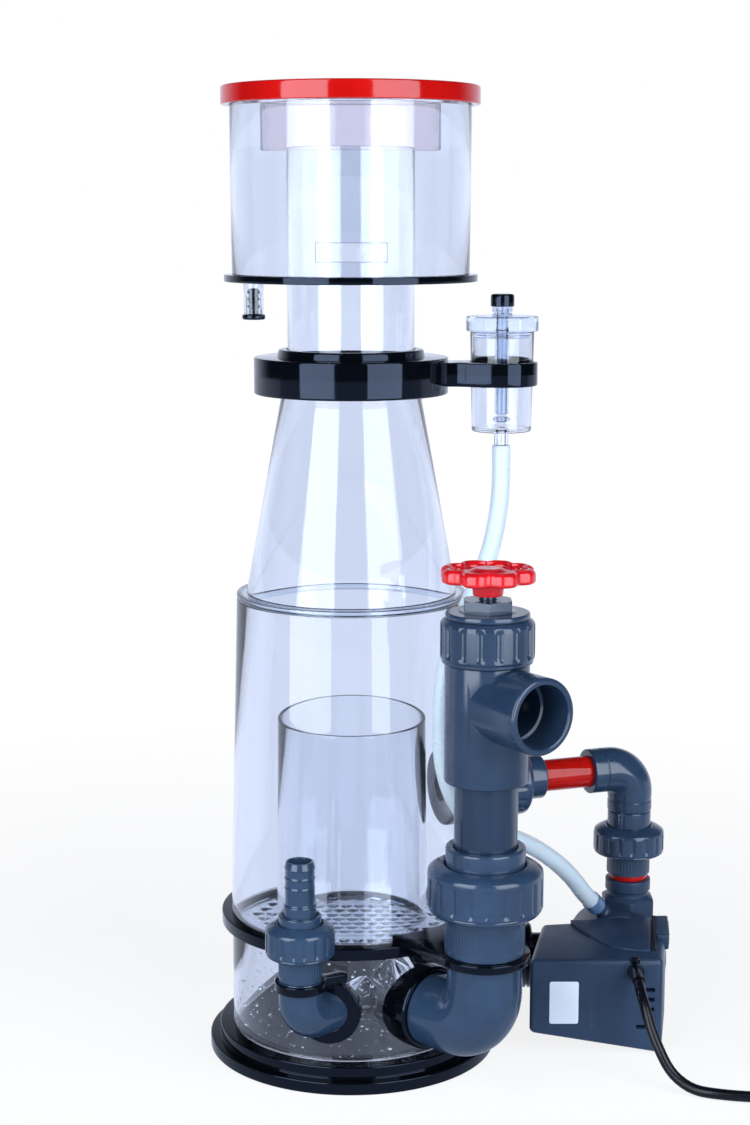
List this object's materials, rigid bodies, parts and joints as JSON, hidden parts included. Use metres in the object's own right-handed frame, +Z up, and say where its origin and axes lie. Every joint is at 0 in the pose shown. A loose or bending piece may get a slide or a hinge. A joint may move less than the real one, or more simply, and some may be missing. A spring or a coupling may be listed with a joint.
{
  "type": "protein skimmer",
  "caption": "Clear cone-bodied aquarium protein skimmer with collection cup, gate valve outlet, hose inlet, air silencer and recirculation pump.",
  "frame": {"origin": "centre of the underside of the base plate", "axes": "+Z up along the body, -Y towards the front with the inlet and the valve, +X towards the pump"},
  "size_m": [0.469, 0.2592, 0.6305],
  "materials": {
    "clear_acrylic": "clear polished acrylic",
    "black_acrylic": "polished black",
    "red_plastic": "glossy red",
    "black_rubber": "matt black",
    "grey_pvc": "satin dark blue-grey",
    "white_ceramic": "white",
    "silicone": "milky silicone"
  },
  "bodies": {
    "skimmer_body": {"lower_chamber_tube": "clear_acrylic", "bubble_plate": "clear_acrylic", "reaction_tube": "clear_acrylic", "inner_tube": "clear_acrylic", "shoulder_ring": "clear_acrylic", "cone": "clear_acrylic", "silencer_jar": "clear_acrylic", "base_plate": "black_acrylic", "mid_flange_ring": "black_acrylic", "neck_collar": "black_acrylic", "silencer_bracket": "black_acrylic", "inlet_port_pad": "black_acrylic", "inlet_clip": "black_acrylic", "outlet_port_ring": "black_acrylic", "outlet_support_plate": "black_acrylic", "discharge_pipe": "black_acrylic", "red_pipe": "red_plastic", "pump_seal_ring": "red_plastic", "cord_strain_relief": "black_rubber", "power_cord": "black_rubber", "cord_coil": "black_rubber", "power_plug": "black_rubber", "inlet_elbow": "grey_pvc", "inlet_union_end": "grey_pvc", "inlet_hose_tail": "grey_pvc", "outlet_elbow": "grey_pvc", "outlet_union_end": "grey_pvc", "outlet_union_top": "grey_pvc", "standpipe": "grey_pvc", "valve_tee": "grey_pvc", "valve_bonnet": "grey_pvc", "return_bulkhead": "grey_pvc", "return_socket": "grey_pvc", "return_elbow": "grey_pvc", "pump_union_top": "grey_pvc", "pump_union_end": "grey_pvc", "pump_volute": "grey_pvc", "pump_shell": "grey_pvc", "impeller_shaft": "white_ceramic", "air_hose": "silicone"},
    "o_ring": {"neck_o_ring": "black_rubber"},
    "cup": {"cup_base_plate": "black_acrylic", "cup_wall": "clear_acrylic", "riser_tube": "clear_acrylic", "drain_nipple": "clear_acrylic"},
    "cup_lid": {"lid": "red_plastic", "lid_sleeve": "clear_acrylic"},
    "drain_plug": {"drain_plug": "black_acrylic"},
    "handwheel": {"handwheel": "red_plastic", "valve_spindle": "grey_pvc"},
    "gate": {"valve_gate": "black_acrylic"},
    "bonnet_nut": {"bonnet_nut": "grey_pvc"},
    "inlet_nut": {"inlet_union_nut": "grey_pvc"},
    "outlet_nut": {"outlet_union_nut": "grey_pvc"},
    "return_nut": {"return_union_nut": "grey_pvc"},
    "pump_nut": {"pump_union_nut": "grey_pvc"},
    "silencer_lid": {"jar_lid": "clear_acrylic"},
    "air_cap": {"air_cap": "black_acrylic"},
    "rotor": {"needle_wheel": "white_ceramic", "magnet_rotor": "black_acrylic"}
  },
  "joints": [
    {"name": "cup_turn", "type": "hinge", "parent": "skimmer_body", "child": "o_ring", "pos_m": [0, 0, 0.4515], "axis": [0, 0, 1], "range_deg": [-180, 180]},
    {"name": "cup_lift", "type": "slide", "parent": "o_ring", "child": "cup", "axis": [0, 0, 1], "range_m": [0, 0.06]},
    {"name": "lid_lift", "type": "slide", "parent": "cup", "child": "cup_lid", "axis": [0, 0, 1], "range_m": [0, 0.05]},
    {"name": "drain_plug_pull", "type": "slide", "parent": "cup", "child": "drain_plug", "axis": [0, 0, -1], "range_m": [0, 0.02]},
    {"name": "handwheel_turn", "type": "hinge", "parent": "skimmer_body", "child": "handwheel", "pos_m": [0.0835, -0.106, 0.33], "axis": [0, 0, 1], "range_deg": [-1440, 0]},
    {"name": "gate_slide", "type": "slide", "parent": "skimmer_body", "child": "gate", "axis": [0, 0, 1], "range_m": [-0.024, 0]},
    {"name": "bonnet_nut_turn", "type": "hinge", "parent": "skimmer_body", "child": "bonnet_nut", "pos_m": [0.0835, -0.106, 0.297], "axis": [0, 0, 1], "range_deg": [0, 720]},
    {"name": "inlet_nut_turn", "type": "hinge", "parent": "skimmer_body", "child": "inlet_nut", "pos_m": [-0.0313, -0.0987, 0.105], "axis": [0, 0, 1], "range_deg": [0, 720]},
    {"name": "outlet_nut_turn", "type": "hinge", "parent": "skimmer_body", "child": "outlet_nut", "pos_m": [0.0835, -0.106, 0.141], "axis": [0, 0, 1], "range_deg": [0, 720]},
    {"name": "return_nut_turn", "type": "hinge", "parent": "skimmer_body", "child": "return_nut", "pos_m": [0.10337, 0.03762, 0.17], "axis": [0.9397, 0.342, 0], "range_deg": [0, 720]},
    {"name": "pump_nut_turn", "type": "hinge", "parent": "skimmer_body", "child": "pump_nut", "pos_m": [0.1937, 0.0705, 0.119], "axis": [0, 0, 1], "range_deg": [0, 720]},
    {"name": "silencer_lid_lift", "type": "slide", "parent": "skimmer_body", "child": "silencer_lid", "axis": [0, 0, 1], "range_m": [0, 0.02]},
    {"name": "air_cap_pull", "type": "slide", "parent": "silencer_lid", "child": "air_cap", "axis": [0, 0, 1], "range_m": [0, 0.012]},
    {"name": "impeller_spin", "type": "hinge", "parent": "skimmer_body", "child": "rotor", "pos_m": [0.185, 0.04, 0.038], "axis": [0, 1, 0], "continuous": true}
  ],
  "couplings": [
    {"joint": "gate_slide", "follows": "handwheel_turn", "m_per_rad": 0.000954}
  ]
}
